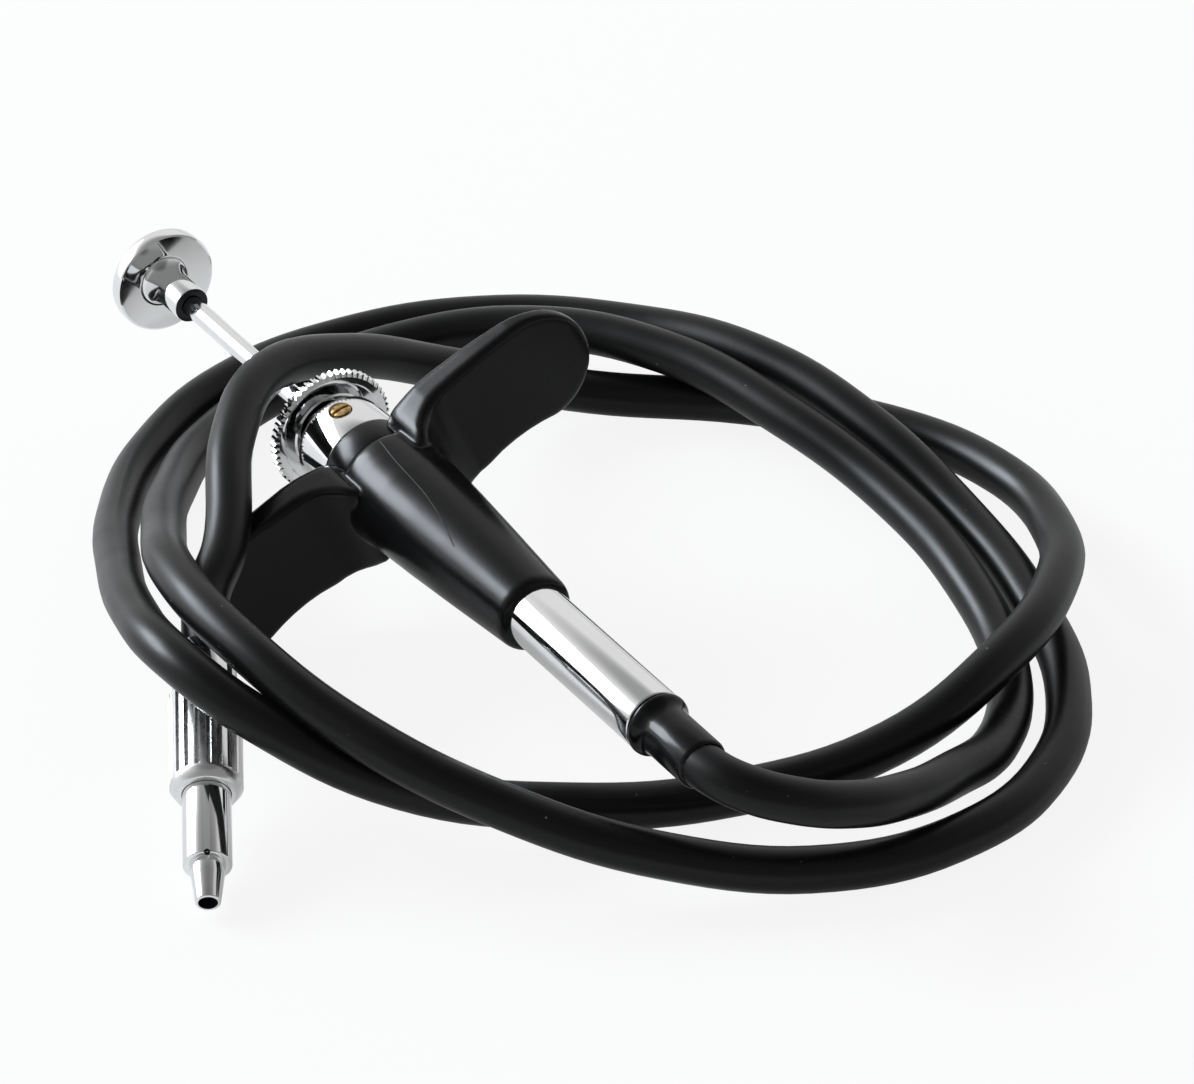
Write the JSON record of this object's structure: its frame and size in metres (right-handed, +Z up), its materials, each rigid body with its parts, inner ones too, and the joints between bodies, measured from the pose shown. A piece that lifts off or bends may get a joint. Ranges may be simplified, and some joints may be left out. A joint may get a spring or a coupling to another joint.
{
  "type": "cable shutter release",
  "caption": "Mechanical cable release with a T-grip, thumb button, disc lock, long jacketed cable and a fluted screw tip whose pin trips a camera shutter.",
  "frame": {"origin": "middle of the grip's footprint, without the cable and its tip, on the table plane z = 0", "axes": "+X along the grip's axis from the thumb button to the cable, +Y toward the raised wing, +Z up"},
  "size_m": [0.1404, 0.129, 0.0342],
  "materials": {
    "button_chrome": "polished chrome plate",
    "rod_chrome": "polished chrome plate",
    "stop_brass": "turned brass",
    "crimp_brass": "turned brass",
    "wire_steel": "drawn steel",
    "return_spring_steel": "spring steel",
    "disc_chrome": "polished chrome plate, toothed edge",
    "sleeve_chrome": "polished chrome plate",
    "lock_spring_steel": "spring steel",
    "washer_steel": "hardened steel",
    "collar_chrome": "polished chrome plate",
    "screw_brass": "turned brass, slotted",
    "bush_brass": "turned brass",
    "grip_black": "satin black moulding",
    "tube_chrome": "polished chrome plate",
    "seat_brass": "turned brass",
    "ferrule_brass": "turned brass",
    "boot_black": "black moulded boot",
    "jacket_black": "glossy black PVC",
    "tip_collar_chrome": "chrome plate, fluted",
    "tip_neck_chrome": "polished chrome plate",
    "tip_nose_chrome": "chrome plate, tapered",
    "tip_ferrule_chrome": "chrome plate",
    "ring_steel": "spring steel",
    "pin_steel": "polished steel"
  },
  "bodies": {
    "handle": {"grip": "grip_black", "release_collar": "collar_chrome", "set_screw": "screw_brass", "rod_guide_bush": "bush_brass", "lock_washer": "washer_steel", "lock_spring": "lock_spring_steel", "return_spring": "return_spring_steel", "barrel_tube": "tube_chrome", "spring_seat": "seat_brass", "cable_ferrule": "ferrule_brass", "cable_boot": "boot_black", "cable_jacket": "jacket_black", "tip_ferrule": "tip_ferrule_chrome", "tip_retaining_ring": "ring_steel"},
    "plunger": {"button_head": "button_chrome", "plunger_rod": "rod_chrome", "stop_collar": "stop_brass", "wire_crimp": "crimp_brass", "drive_wire": "wire_steel"},
    "lock": {"lock_disc": "disc_chrome", "lock_sleeve": "sleeve_chrome"},
    "tip": {"tip_collar": "tip_collar_chrome", "tip_neck": "tip_neck_chrome", "tip_nose": "tip_nose_chrome"},
    "pin": {"release_pin": "pin_steel"}
  },
  "joints": [
    {"name": "plunger_slide", "type": "slide", "parent": "handle", "child": "plunger", "axis": [1, 0, 0], "range_m": [0, 0.014], "stiffness_N_per_m": 60, "deforming": ["return_spring"]},
    {"name": "lock_slide", "type": "slide", "parent": "handle", "child": "lock", "axis": [1, 0, 0], "range_m": [0, 0.0015], "stiffness_N_per_m": 150, "deforming": ["lock_spring"]},
    {"name": "tip_spin", "type": "hinge", "parent": "handle", "child": "tip", "pos_m": [0.02639, -0.04351, 0.00666], "axis": [0.8321, -0.4606, -0.309], "continuous": true},
    {"name": "pin_slide", "type": "slide", "parent": "handle", "child": "pin", "axis": [0.8321, -0.4606, -0.309], "range_m": [0, 0.014]}
  ],
  "couplings": [
    {"joint": "pin_slide", "follows": "plunger_slide", "ratio": 1}
  ]
}
